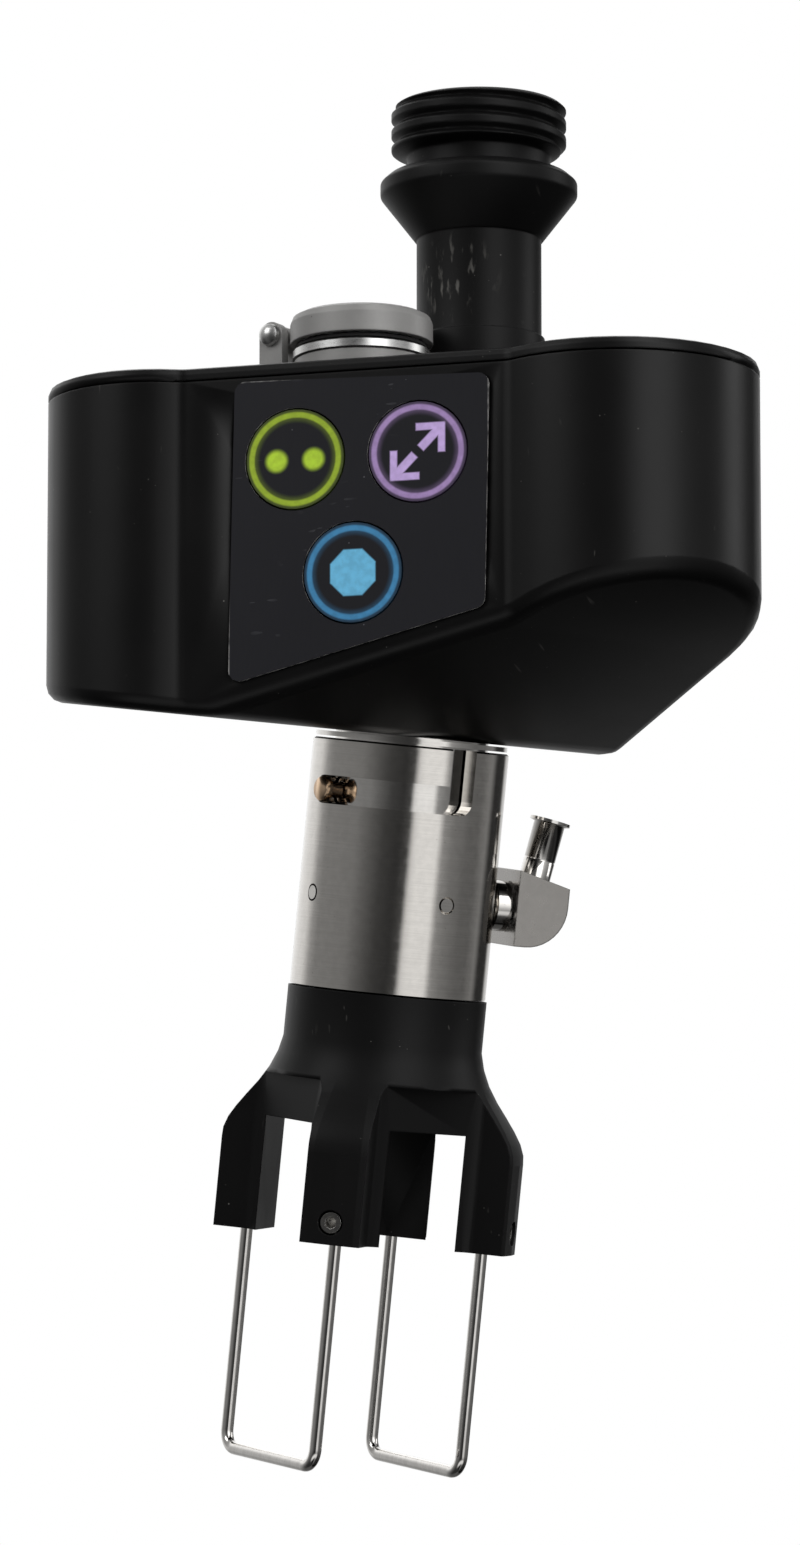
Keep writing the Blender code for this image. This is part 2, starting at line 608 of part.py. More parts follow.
def crown():
    """Turned body with four legs, with pockets milled between them and a square well inside them."""
    profile = [(CROWN_TENON_R, -35.2), (CROWN_TENON_R, CROWN_TOP), (CROWN_R, CROWN_TOP)]
    profile += [(radius, z) for z, radius in CROWN_FLARE]
    profile += [(LEG_R, LEG_END), (CROWN_BORE_R, LEG_END), (CROWN_BORE_R, -47.5), (CROWN_TENON_BORE_R, -44.5),
                (CROWN_TENON_BORE_R, -35.2)]
    body = turned("crown", profile, "black_anodised", LEG_FRAME)
    half = LEG_W / 2
    corner = POCKET_FLAT * math.sqrt(2) - half
    outline = rounded_corners([(half, corner), (corner, half), (40, half), (40, 40), (half, 40)], 2.2, 3)
    for i in range(4):
        turn = Matrix.Rotation(i * math.pi / 2, 4, "Z")
        boolean(body, plate(f"pocket_{i}", outline, LEG_END - 5.0, POCKET_Z, None, LEG_FRAME, turn))
    well = block("leg_well", (-LEG_IN, -LEG_IN, LEG_END - 5.0), (LEG_IN, LEG_IN, RIM_Z), None, LEG_FRAME)
    boolean(body, well)
    for i in range(4):
        leg = math.radians(90.0 * i)
        x, y = WIRE_AT * math.sin(leg), -WIRE_AT * math.cos(leg)
        hole = rod(f"wire_hole_{i}", WIRE_R + GAP, LEG_END - 2, WIRE_TOP + GAP, None, LEG_FRAME, at(x, y, 0), 16)
        boolean(body, hole)
        out = outward(90.0 * i, SCREW_Z)
        boolean(body, rod(f"screw_hole_{i}", SCREW_R + GAP, WIRE_AT, 30.0, None, LEG_FRAME, out, 20))
    return smooth(body)


def leg_screws():
    for i, name in enumerate(("front", "right", "back", "left")):
        out = outward(90.0 * i, SCREW_Z, LEG_R - 0.5)
        hex_screw(f"wire_screw_{name}", SCREW_R, 2.9, SCREW_HEX_R, 1.2, "bright_steel", LEG_FRAME, out, 20)


def wire_loop(name, first, second):
    """A round wire bent to a U between two legs, as a curve with filled ends."""
    ends = [direction(90.0 * leg) * WIRE_AT for leg in (first, second)]
    across = (ends[1] - ends[0]).normalized()
    route = [ends[0] + Vector((0, 0, WIRE_TOP))]
    for end, way, turns in ((ends[0], across, range(7)), (ends[1], -across, range(6, -1, -1))):
        centre = end + way * WIRE_BEND_R + Vector((0, 0, WIRE_END + WIRE_BEND_R))
        for turn in turns:
            angle = math.pi / 2 * turn / 6
            spoke = -way * math.cos(angle) - Vector((0, 0, 1)) * math.sin(angle)
            route.append(centre + spoke * WIRE_BEND_R)
    route.append(ends[1] + Vector((0, 0, WIRE_TOP)))
    curve = bpy.data.curves.new(name, "CURVE")
    curve.dimensions = "3D"
    curve.bevel_depth = WIRE_R * MM
    curve.bevel_resolution = 2
    curve.use_fill_caps = True
    spline = curve.splines.new("POLY")
    spline.points.add(len(route) - 1)
    for point, position in zip(spline.points, route):
        point.co = (*(position * MM), 1.0)
    curve.materials.append(LOOKS["bright_steel"])
    obj = bpy.data.objects.new(name, curve)
    PARTS.objects.link(obj)
    obj.parent = LEG_FRAME


def scan_mirror(name, axis_matrix, face_turn, look="mirror_glass"):
    """A small mirror on the end of a shaft. The shaft runs along the axis empty's local Z."""
    pivot = empty(name + "_axis", axis_matrix)
    width, height, thick = MIRROR_SIZE
    half = (width / 2, thick / 2, height / 2)
    glass = block(name, tuple(-size for size in half), half, look, pivot,
                  Matrix.Rotation(face_turn, 4, "Z"))
    boolean(glass, rod(name + "_shaft", 1.0, -8.5, -height / 2 + 1.0, None, pivot, None, 12), "UNION")


def scan_motor(name, axis_matrix, length):
    motor = rod(name, MOTOR_R, -6.8 - length, -6.8, "dark_steel", None, axis_matrix, 24)
    boolean(motor, rod(name + "_bore", 1.3, -9.0, 0.0, None, None, axis_matrix, 12))


def optics():
    """The beam comes down the tube, turns to -X, then to +Y, and then down the sleeve."""
    first = at(0, 0, BEAM_Z) @ Matrix.Rotation(-math.pi / 2, 4, "X")
    second = at(MIRROR_Y_X, 0, BEAM_Z) @ Matrix.Rotation(math.pi, 4, "X")
    scan_mirror("scan_mirror_x", first, math.radians(-45.0))
    scan_mirror("scan_mirror_y", second, math.radians(45.0))
    scan_motor("scan_motor_x", first, 16.5)
    scan_motor("scan_motor_y", second, 13.0)
    bracket = block("motor_bracket", (-20.0, -14.0, -84.0), (13.0, -9.5, -62.0), "grey_cast")
    boolean(bracket, block("bracket_shelf", (-20.0, -10.0, -66.0), (-4.5, 7.5, -62.0)), "UNION")
    boolean(bracket, block("bracket_post", (9.5, -14.0, -70.0), (13.0, -9.5, SEAM_Z - GAP)), "UNION")
    boolean(bracket, rod("motor_x_hole", MOTOR_R + GAP, -30.0, 0.0, None, None, first, 24))
    boolean(bracket, rod("motor_y_hole", MOTOR_R + GAP, -30.0, 0.0, None, None, second, 24))
    facing = (SLEEVE_DOWN - Vector((0.0, 1.0, 0.0))).to_track_quat("Z", "Y").to_matrix().to_4x4()
    place = at(-12.1, 9.7, BEAM_Z) @ facing
    block("fold_mirror", (-4.5, -6.0, -2.2), (4.5, 6.0, -0.2), "mirror_glass", None, place)


def boards():
    block("keypad_board", (-30.0, -28.6, -89.0), (9.0, -27.4, -56.0), "circuit_board")
    block("driver_board", (14.0, -25.0, -60.0), (41.0, 0.0, -58.4), "circuit_board")


def looks():
    return {
        "black_anodised": material("black_anodised", (0.012, 0.012, 0.013), 0.45, 0.3),
        "keypad_film": material("keypad_film", (0.016, 0.016, 0.02), 0.5),
        "grey_cast": material("grey_cast", (0.36, 0.36, 0.35), 0.5, 0.6),
        "bright_steel": material("bright_steel", (0.62, 0.61, 0.59), 0.2, 1.0),
        "brushed_steel": material("brushed_steel", (0.5, 0.49, 0.47), 0.32, 1.0),
        "dark_steel": material("dark_steel", (0.12, 0.12, 0.12), 0.4, 1.0),
        "brass": material("brass", (0.75, 0.56, 0.36), 0.25, 1.0),
        "black_rubber": material("black_rubber", (0.01, 0.01, 0.01), 0.8),
        "black_plastic": material("black_plastic", (0.02, 0.02, 0.02), 0.5),
        "lens_glass": material("lens_glass", (0.8, 0.7, 0.45), 0.05),
        "mirror_glass": material("mirror_glass", (0.8, 0.8, 0.82), 0.05, 1.0),
        "circuit_board": material("circuit_board", (0.02, 0.12, 0.05), 0.5),
    }


clear_scene()
PARTS = collection(COLLECTION)
CUTTERS = collection("cutters")
LOOKS = looks()
LEAN = Matrix.Rotation(TILT, 4, Vector((1.0, 1.0, 0.0)).normalized())
SLEEVE_DOWN = LEAN.to_3x3() @ Vector((0.0, 0.0, -1.0))
SLEEVE_TOP = Vector(SEAT_POINT) + SLEEVE_DOWN * SEAT_TO_SLEEVE
SLEEVE_AXIS = empty("sleeve_axis", Matrix.Translation(SLEEVE_TOP * MM) @ LEAN)
LEG_FRAME = empty("leg_frame", Matrix.Rotation(math.radians(LEG_AZ), 4, "Z"), SLEEVE_AXIS)
ELBOW_TURN = Matrix.Rotation(math.radians(NOZZLE_AZ), 4, "Z")
ELBOW_AXIS = empty("elbow_axis", at(0, 0, NOZZLE_Z) @ ELBOW_TURN, SLEEVE_AXIS)
HINGE_AXIS = empty("hinge_axis", hinge_matrix())

housing_shell()
housing_cover()
cover_screws()
arm_tube()
socket_parts()
socket_cap()
hinge_bracket()
keypad()
spigot()
sleeve()
lens_parts()
gas_nozzle()
crown()
leg_screws()
wire_loop("wire_loop_left", 3, 0)
wire_loop("wire_loop_right", 1, 2)
optics()
boards()
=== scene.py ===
"""Beam scanner handpiece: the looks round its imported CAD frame.

Places and sizes are written in millimetres and multiplied by MM where Blender takes metres.
"""

import json
import math

import bmesh
import bpy
from mathutils import Matrix, Vector

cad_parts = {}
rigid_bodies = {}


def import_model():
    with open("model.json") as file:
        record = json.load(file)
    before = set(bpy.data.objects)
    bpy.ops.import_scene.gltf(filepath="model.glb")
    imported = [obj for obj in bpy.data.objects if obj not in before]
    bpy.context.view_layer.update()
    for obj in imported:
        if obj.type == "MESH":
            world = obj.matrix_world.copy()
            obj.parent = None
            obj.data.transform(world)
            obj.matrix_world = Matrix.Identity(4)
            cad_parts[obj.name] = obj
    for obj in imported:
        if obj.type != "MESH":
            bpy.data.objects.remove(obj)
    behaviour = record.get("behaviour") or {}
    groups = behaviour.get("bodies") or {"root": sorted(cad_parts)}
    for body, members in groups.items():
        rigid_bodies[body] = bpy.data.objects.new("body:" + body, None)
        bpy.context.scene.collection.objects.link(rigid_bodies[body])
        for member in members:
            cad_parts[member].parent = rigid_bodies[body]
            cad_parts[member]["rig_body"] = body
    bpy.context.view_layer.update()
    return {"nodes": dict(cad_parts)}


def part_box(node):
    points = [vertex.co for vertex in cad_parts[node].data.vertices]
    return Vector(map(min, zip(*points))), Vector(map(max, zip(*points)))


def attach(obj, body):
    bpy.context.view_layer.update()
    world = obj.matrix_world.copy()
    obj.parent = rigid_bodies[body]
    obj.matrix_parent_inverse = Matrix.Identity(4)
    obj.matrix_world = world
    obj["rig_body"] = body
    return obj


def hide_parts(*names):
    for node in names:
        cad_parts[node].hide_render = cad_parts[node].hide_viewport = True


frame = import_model()

MM = 0.001
NODES = frame["nodes"]

# The arm tube's neck, below its thread
NECK_R, NECK_Z = 11.8, -9.0

# The sleeve's own frame: it leans about the diagonal of X and Y
TILT = math.radians(11.7)
LEAN = Matrix.Rotation(TILT, 4, Vector((1.0, 1.0, 0.0)).normalized())
DOWN = LEAN.to_3x3() @ Vector((0.0, 0.0, -1.0))
SLEEVE_TOP = Matrix.Translation((Vector((-15.6, 13.8, -102.3)) + DOWN * 1.4) * MM) @ LEAN
LEG_FRAME = SLEEVE_TOP @ Matrix.Rotation(math.radians(4.0), 4, "Z")
NOZZLE_FRAME = SLEEVE_TOP @ Matrix.Rotation(math.radians(126.0), 4, "Z")
SOCKET_FRAME = Matrix.Translation(Vector((-14.7, -17.8, 0.0)) * MM)


# ---------------------------------------------------------------- node helpers
def new_material(name):
    mat = bpy.data.materials.new(name)
    mat.use_nodes = True
    tree = mat.node_tree
    return mat, tree, tree.nodes["Principled BSDF"]


def link(tree, value, socket):
    """Joins a socket to another, or sets a constant."""
    if isinstance(value, bpy.types.NodeSocket):
        tree.links.new(value, socket)
    else:
        socket.default_value = value


def object_coords(tree, place=None):
    """Object coordinates, as seen from a frame placed in the row frame."""
    out = tree.nodes.new("ShaderNodeTexCoord").outputs["Object"]
    if place is None:
        return out
    back = place.inverted()
    node = tree.nodes.new("ShaderNodeMapping")
    node.inputs["Location"].default_value = back.to_translation()
    node.inputs["Rotation"].default_value = back.to_euler()
    tree.links.new(out, node.inputs["Vector"])
    return node.outputs["Vector"]


def stretched(tree, vector, scale):
    node = tree.nodes.new("ShaderNodeMapping")
    node.inputs["Scale"].default_value = scale
    tree.links.new(vector, node.inputs["Vector"])
    return node.outputs["Vector"]


def noise(tree, vector, scale, detail=3.0, distortion=0.0):
    node = tree.nodes.new("ShaderNodeTexNoise")
    node.inputs["Scale"].default_value = scale
    node.inputs["Detail"].default_value = detail
    node.inputs["Distortion"].default_value = distortion
    tree.links.new(vector, node.inputs["Vector"])
    return node.outputs["Fac"]


def cells(tree, vector, scale):
    node = tree.nodes.new("ShaderNodeTexVoronoi")
    node.inputs["Scale"].default_value = scale
    tree.links.new(vector, node.inputs["Vector"])
    return node.outputs["Distance"], node.outputs["Color"]


def calc(tree, operation, a, b=0.0, c=0.0):
    node = tree.nodes.new("ShaderNodeMath")
    node.operation = operation
    link(tree, a, node.inputs[0])
    link(tree, b, node.inputs[1])
    link(tree, c, node.inputs[2])
    return node.outputs[0]


def step(tree, value, low, high, first=0.0, last=1.0):
    """Smooth change from first to last as value goes from low to high."""
    node = tree.nodes.new("ShaderNodeMapRange")
    node.interpolation_type = "SMOOTHSTEP"
    link(tree, value, node.inputs["Value"])
    node.inputs["From Min"].default_value = low
    node.inputs["From Max"].default_value = high
    node.inputs["To Min"].default_value = first
    node.inputs["To Max"].default_value = last
    return node.outputs["Result"]


def blend_colour(tree, factor, a, b):
    node = tree.nodes.new("ShaderNodeMix")
    node.data_type = "RGBA"
    link(tree, factor, node.inputs[0])
    link(tree, a, node.inputs[6])
    link(tree, b, node.inputs[7])
    return node.outputs[2]


def split(tree, vector):
    node = tree.nodes.new("ShaderNodeSeparateXYZ")
    tree.links.new(vector, node.inputs[0])
    return node.outputs


def soft_edges(tree, radius):
    if radius is None:
        return None
    node = tree.nodes.new("ShaderNodeBevel")
    node.samples = 4
    node.inputs["Radius"].default_value = radius
    return node.outputs["Normal"]


def bump(tree, height, distance, strength=1.0, normal=None):
    node = tree.nodes.new("ShaderNodeBump")
    node.inputs["Strength"].default_value = strength
    node.inputs["Distance"].default_value = distance
    tree.links.new(height, node.inputs["Height"])
    if normal is not None:
        tree.links.new(normal, node.inputs["Normal"])
    return node.outputs["Normal"]


def specks(tree, vector, scale, size, rarity):
    """Sparse dust: a few small dots of uneven strength."""
    distance, tint = cells(tree, vector, scale)
    chance = split(tree, tint)[0]
    dot = step(tree, distance, size * 0.6, size, 1.0, 0.0)
    return calc(tree, "MULTIPLY", dot, step(tree, chance, rarity, rarity + 0.12))


def scratches(tree, vector, scale, threshold):
    """Fine hairlines: long thin islands of a stretched noise, broken up by a coarse one."""
    line = step(tree, noise(tree, stretched(tree, vector, scale), 1.0, 1.0), threshold, threshold + 0.02)
    patch = step(tree, noise(tree, vector, 90.0, 2.0), 0.55, 0.68)
    return calc(tree, "MULTIPLY", line, patch)


# ---------------------------------------------------------------- materials
def black_metal(name, tone, rough, spec, dust, edge, scuff=None):
    """Matte black anodised metal with dust, hairlines, softened edges and an optional rubbed scuff patch."""
    mat, tree, shader = new_material(name)
    vector = object_coords(tree)
    fine = noise(tree, vector, 5200.0, 2.0)
    cloud = noise(tree, vector, 60.0, 3.0)
    dots = specks(tree, vector, 330.0, 0.055, 0.86)
    small = specks(tree, vector, 900.0, 0.08, 0.86)
    lines = scratches(tree, vector, (900.0, 60.0, 220.0), 0.72)
    marks = calc(tree, "MAXIMUM", calc(tree, "MAXIMUM", dots, small), calc(tree, "MULTIPLY", lines, 0.35))
    marks = calc(tree, "MULTIPLY", marks, dust)
    if scuff is not None:
        centre, reach = scuff
        offset = tree.nodes.new("ShaderNodeVectorMath")
        offset.operation = "DISTANCE"
        tree.links.new(vector, offset.inputs[0])
        offset.inputs[1].default_value = Vector(centre) * MM
        near = step(tree, offset.outputs["Value"], reach * 0.3 * MM, reach * MM, 1.0, 0.0)
        smear = step(tree, noise(tree, stretched(tree, vector, (900.0, 900.0, 260.0)), 1.0, 4.0), 0.55, 0.72)
        rubbed = calc(tree, "MULTIPLY", calc(tree, "MULTIPLY", near, smear), 0.45)
        marks = calc(tree, "MAXIMUM", marks, rubbed)
    low = (tone * 0.8, tone * 0.8, tone * 0.85, 1)
    high = (tone * 1.25, tone * 1.2, tone * 1.2, 1)
    base = blend_colour(tree, cloud, low, high)
    link(tree, blend_colour(tree, marks, base, (0.30, 0.29, 0.27, 1)), shader.inputs["Base Color"])
    uneven = calc(tree, "ADD", cloud, calc(tree, "MULTIPLY", fine, 0.3))
    link(tree, step(tree, uneven, 0.3, 1.0, rough - 0.02, rough + 0.04), shader.inputs["Roughness"])
    shader.inputs["Specular IOR Level"].default_value = spec
    height = calc(tree, "ADD", fine, calc(tree, "MULTIPLY", marks, 2.0))
    link(tree, bump(tree, height, 0.000012, 0.5, soft_edges(tree, edge)), shader.inputs["Normal"])
    return mat


def steel(name, tint, rough, place=None, grain=(60.0, 60.0, 14000.0), mottle=0.0, edge=None, flat=0.12):
    """Turned or drawn steel: hair-fine grain in one direction, faint stains and softened edges."""
    mat, tree, shader = new_material(name)
    vector = object_coords(tree, place)
    hair = noise(tree, stretched(tree, vector, grain), 1.0, 2.0)
    stain = noise(tree, vector, 700.0, 5.0, 0.3)
    spots = specks(tree, vector, 900.0, 0.10, 0.72)
    dark = tuple(c * (0.90 - mottle) for c in tint)
    shade = calc(tree, "ADD", calc(tree, "MULTIPLY", hair, 0.5), calc(tree, "MULTIPLY", stain, 0.5))
    colour = blend_colour(tree, step(tree, shade, 0.35, 0.65), (*dark, 1), (*tint, 1))
    colour = blend_colour(tree, calc(tree, "MULTIPLY", spots, 0.5), colour, (*[c * 0.4 for c in tint], 1))
    link(tree, colour, shader.inputs["Base Color"])
    shader.inputs["Metallic"].default_value = 1.0
    link(tree, step(tree, shade, 0.35, 0.65, rough - 0.02, rough + 0.04), shader.inputs["Roughness"])
    link(tree, bump(tree, hair, 0.000002, flat, soft_edges(tree, edge)), shader.inputs["Normal"])
    return mat


def grey_cast(name):
    """Grey painted casting with a fine grain, dark specks and softened edges."""
    mat, tree, shader = new_material(name)
    vector = object_coords(tree)
    grain = noise(tree, vector, 2600.0, 3.0)
    cloud = noise(tree, vector, 120.0, 4.0)
    dirt = specks(tree, vector, 600.0, 0.1, 0.75)
    base = blend_colour(tree, cloud, (0.30, 0.295, 0.29, 1), (0.39, 0.385, 0.375, 1))
    link(tree, blend_colour(tree, calc(tree, "MULTIPLY", dirt, 0.5), base, (0.03, 0.03, 0.03, 1)),
         shader.inputs["Base Color"])
    shader.inputs["Metallic"].default_value = 0.25
    link(tree, step(tree, grain, 0.3, 0.7, 0.38, 0.52), shader.inputs["Roughness"])
    link(tree, bump(tree, grain, 0.00002, 0.4, soft_edges(tree, 0.0003)), shader.inputs["Normal"])
    return mat


def plain(name, colour, rough, metallic=0.0, scale=1500.0, spread=0.25):
    """A simple finish with fine variation of tone and roughness."""
    mat, tree, shader = new_material(name)
    vector = object_coords(tree)
    grain = noise(tree, vector, scale, 3.0)
    low = tuple(c * (1 - spread) for c in colour)
    link(tree, blend_colour(tree, grain, (*low, 1), (*colour, 1)), shader.inputs["Base Color"])
    shader.inputs["Metallic"].default_value = metallic
    link(tree, step(tree, grain, 0.3, 0.7, max(0.02, rough - 0.06), rough + 0.06), shader.inputs["Roughness"])
    link(tree, bump(tree, grain, 0.00001, 0.4, soft_edges(tree, 0.0002)), shader.inputs["Normal"])
    return mat


def film_base(tree, vector):
    """Colour of the dark film: navy black with dust, hairlines and a faint printed grain."""
    cloud = noise(tree, vector, 45.0, 4.0)
    weave = noise(tree, stretched(tree, vector, (4200.0, 900.0, 300.0)), 1.0, 2.0)
    dots = specks(tree, vector, 420.0, 0.06, 0.8)
    lines = scratches(tree, vector, (260.0, 40.0, 1100.0), 0.7)
    marks = calc(tree, "MAXIMUM", calc(tree, "MULTIPLY", dots, 0.45), calc(tree, "MULTIPLY", lines, 0.16))
    base = blend_colour(tree, cloud, (0.0075, 0.0075, 0.0105, 1), (0.0125, 0.0125, 0.0170, 1))
    base = blend_colour(tree, calc(tree, "MULTIPLY", weave, 0.25), base, (0.02, 0.02, 0.026, 1))
    return blend_colour(tree, marks, base, (0.26, 0.26, 0.28, 1)), weave


def film(name):
    """The overlay: dark on its face, rubbed pale where its cut edge shows."""
    mat, tree, shader = new_material(name)
    vector = object_coords(tree)
    colour, weave = film_base(tree, vector)
    geometry = tree.nodes.new("ShaderNodeNewGeometry")
    facing = calc(tree, "ABSOLUTE", split(tree, geometry.outputs["True Normal"])[1])
    rim = step(tree, facing, 0.4, 0.9, 1.0, 0.0)
    low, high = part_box("keypad_label")
    x, _, z = split(tree, vector)
    inset = calc(tree, "MINIMUM", calc(tree, "SUBTRACT", x, low[0]), calc(tree, "SUBTRACT", high[0], x))
    inset = calc(tree, "MINIMUM", inset, calc(tree, "SUBTRACT", high[2], z))
    rim = calc(tree, "MAXIMUM", rim, step(tree, inset, 0.1 * MM, 0.3 * MM, 0.7, 0.0))
    worn = step(tree, noise(tree, vector, 700.0, 4.0), 0.35, 0.62, 0.15, 1.0)
    colour = blend_colour(tree, calc(tree, "MULTIPLY", rim, worn), colour, (0.42, 0.41, 0.40, 1))
    link(tree, colour, shader.inputs["Base Color"])
    shader.inputs["Roughness"].default_value = 0.46
    shader.inputs["Specular IOR Level"].default_value = 0.3
    link(tree, bump(tree, weave, 0.00001, 0.5), shader.inputs["Normal"])
    return mat


def any_of(tree, shapes):
    found = shapes[0]
    for shape in shapes[1:]:
        found = calc(tree, "MAXIMUM", found, shape)
    return found


def bar(tree, u, v, centre, half, soft=0.16):
    """1 inside an upright bar in the (u, v) plane, in millimetres."""
    du = calc(tree, "SUBTRACT", calc(tree, "ABSOLUTE", calc(tree, "SUBTRACT", u, centre[0])), half[0])
    dv = calc(tree, "SUBTRACT", calc(tree, "ABSOLUTE", calc(tree, "SUBTRACT", v, centre[1])), half[1])
    return step(tree, calc(tree, "MAXIMUM", du, dv), -soft, soft, 1.0, 0.0)


def dot(tree, u, v, centre, radius, soft=0.3):
    du = calc(tree, "SUBTRACT", u, centre[0])
    dv = calc(tree, "SUBTRACT", v, centre[1])
    square = calc(tree, "ADD", calc(tree, "MULTIPLY", du, du), calc(tree, "MULTIPLY", dv, dv))
    distance = calc(tree, "SQRT", square)
    return step(tree, distance, radius - soft, radius + soft, 1.0, 0.0)


def icon_dots(tree, u, v):
    return any_of(tree, [dot(tree, u, v, (-3.1, -0.2), 1.75, 0.5), dot(tree, u, v, (3.1, -0.2), 1.75, 0.5)])


def icon_arrows(tree, u, v):
    """Two arrows that point up to the right and down to the left."""
    along = calc(tree, "MULTIPLY", calc(tree, "ADD", u, v), 0.7071)
    across = calc(tree, "MULTIPLY", calc(tree, "SUBTRACT", u, v), 0.7071)
    shapes = []
    for side in (-1, 1):
        shapes.append(bar(tree, along, across, (side * 2.9, 0.0), (2.2, 0.72)))
        shapes.append(bar(tree, u, v, (side * 2.1, side * 4.0), (2.4, 0.6)))
        shapes.append(bar(tree, u, v, (side * 4.0, side * 2.1), (0.6, 2.4)))
    return any_of(tree, shapes)


def icon_octagon(tree, u, v):
    au = calc(tree, "ABSOLUTE", u)
    av = calc(tree, "ABSOLUTE", v)
    slant = calc(tree, "MULTIPLY", calc(tree, "ADD", au, av), 0.7071)
    return step(tree, calc(tree, "MAXIMUM", calc(tree, "MAXIMUM", au, av), slant), 3.6, 3.95, 1.0, 0.0)


def key_film(name, centre, ring_colour, icon_colour, icon):
    """The film over one key: a soft coloured ring round a plain icon; a faint halo round the ring, and
    emission on the ring, halo and icon, are painted glow.
    """
    mat, tree, shader = new_material(name)
    vector = object_coords(tree)
    colour, weave = film_base(tree, vector)
    x, _, z = split(tree, vector)
    u = calc(tree, "MULTIPLY", calc(tree, "SUBTRACT", x, centre[0]), 1000.0)
    v = calc(tree, "MULTIPLY", calc(tree, "SUBTRACT", z, centre[1]), 1000.0)
    reach = calc(tree, "SQRT", calc(tree, "ADD", calc(tree, "MULTIPLY", u, u), calc(tree, "MULTIPLY", v, v)))
    off = calc(tree, "ABSOLUTE", calc(tree, "SUBTRACT", reach, 7.25))
    ring = step(tree, off, 0.25, 0.75, 1.0, 0.0)
    # painted glow: a faint halo of the ring's colour spread round the ring
    painted_glow_halo = calc(tree, "MULTIPLY", step(tree, off, 0.4, 1.5, 1.0, 0.0), 0.28)
    uneven = step(tree, noise(tree, vector, 900.0, 4.0), 0.3, 0.7, 0.86, 1.0)
    ring = calc(tree, "MULTIPLY", calc(tree, "MAXIMUM", ring, painted_glow_halo), uneven)
    mark = calc(tree, "MULTIPLY", icon(tree, u, v), uneven)
    colour = blend_colour(tree, ring, colour, (*ring_colour, 1))
    colour = blend_colour(tree, mark, colour, (*icon_colour, 1))
    link(tree, colour, shader.inputs["Base Color"])
    # painted glow: the ring, its halo and the icon emit their own colour though the film is no lamp
    lit = calc(tree, "MAXIMUM", ring, mark)
    painted_glow_colour = blend_colour(tree, lit, (0, 0, 0, 1), colour)
    link(tree, painted_glow_colour, shader.inputs["Emission Color"])
    shader.inputs["Emission Strength"].default_value = 0.3
    shader.inputs["Roughness"].default_value = 0.46
    shader.inputs["Specular IOR Level"].default_value = 0.3
    link(tree, bump(tree, weave, 0.00001, 0.5), shader.inputs["Normal"])
    return mat


def glass(name):
    mat, tree, shader = new_material(name)
    vector = object_coords(tree)
    link(tree, blend_colour(tree, noise(tree, vector, 300.0), (0.55, 0.42, 0.20, 1), (0.75, 0.60, 0.32, 1)),
         shader.inputs["Base Color"])
    shader.inputs["Roughness"].default_value = 0.04
    shader.inputs["Coat Weight"].default_value = 0.6
    return mat


# ---------------------------------------------------------------- pieces
TURNED = {node: SLEEVE_TOP for node in ("sleeve", "spigot", "focus_lens", "lens_ring")}
TURNED.update({node: SOCKET_FRAME for node in ("socket_ring", "socket_body", "socket_seal")})


def add_piece(mesh, node, material, angle=32.0):
    """Puts a mesh in the scene in place of one CAD node, on that node's body and with the given material."""
    obj = bpy.data.objects.new(mesh.name, mesh)
    bpy.context.scene.collection.objects.link(obj)
    mesh.materials.clear()
    mesh.materials.append(material)
    mesh.shade_smooth()
    mesh.set_sharp_from_angle(angle=math.radians(angle))
    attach(obj, NODES[node]["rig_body"])
    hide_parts(node)


def round_normals(mesh, place):
    """Gives faces that lie on a round surface about the frame's Z axis the true normals of that surface."""
    inside = place.inverted()
    turn = place.to_3x3()
    normals = [None] * len(mesh.loops)
    for face in mesh.polygons:
        flat = inside.to_3x3() @ face.normal
        middle = inside @ face.center
        out = Vector((middle.x, middle.y, 0.0)).normalized()
        is_round = abs(flat.z) < 0.9 and abs(flat.dot(Vector((-out.y, out.x, 0.0)))) < 0.12
        for loop in face.loop_indices:
            if not is_round:
                normals[loop] = face.normal
                continue
            spot = inside @ mesh.vertices[mesh.loops[loop].vertex_index].co
            radial = Vector((spot.x, spot.y, 0.0)).normalized() * flat.dot(out)
            normals[loop] = (turn @ (radial + Vector((0.0, 0.0, flat.z)))).normalized()
    mesh.normals_split_custom_set(normals)


def refined(node, material, angle=32.0):
    """A welded copy of a CAD node, so that its round faces shade smoothly."""
    bm = bmesh.new()
    bm.from_mesh(NODES[node].data)
    bmesh.ops.remove_doubles(bm, verts=bm.verts, dist=0.0000005)
    bmesh.ops.dissolve_limit(bm, angle_limit=math.radians(0.2), verts=bm.verts, edges=bm.edges)
    bmesh.ops.triangulate(bm, faces=[f for f in bm.faces if len(f.verts) > 4])
    mesh = bpy.data.meshes.new(node + "_skin")
    bm.to_mesh(mesh)
    bm.free()
    add_piece(mesh, node, material, angle)
    if node in TURNED:
        round_normals(mesh, TURNED[node])


def grid_of_revolution(name, rings, segments=128):
    """A closed surface about Z through rings of (radius, height), where a radius may depend on the angle."""
    bm = bmesh.new()
    table = []
    for radius, z in rings:
        row = []
        for i in range(segments):
            angle = 2 * math.pi * i / segments
            r = radius(angle) if callable(radius) else radius
            row.append(bm.verts.new(Vector((r * math.cos(angle), r * math.sin(angle), z)) * MM))
        table.append(row)
    for upper, lower in zip(table, table[1:] + table[:1]):
        for i in range(segments):
            k = (i + 1) % segments
            bm.faces.new((upper[i], lower[i], lower[k], upper[k]))
    bmesh.ops.recalc_face_normals(bm, faces=bm.faces)
    mesh = bpy.data.meshes.new(name)
    bm.to_mesh(mesh)
    bm.free()
    return mesh


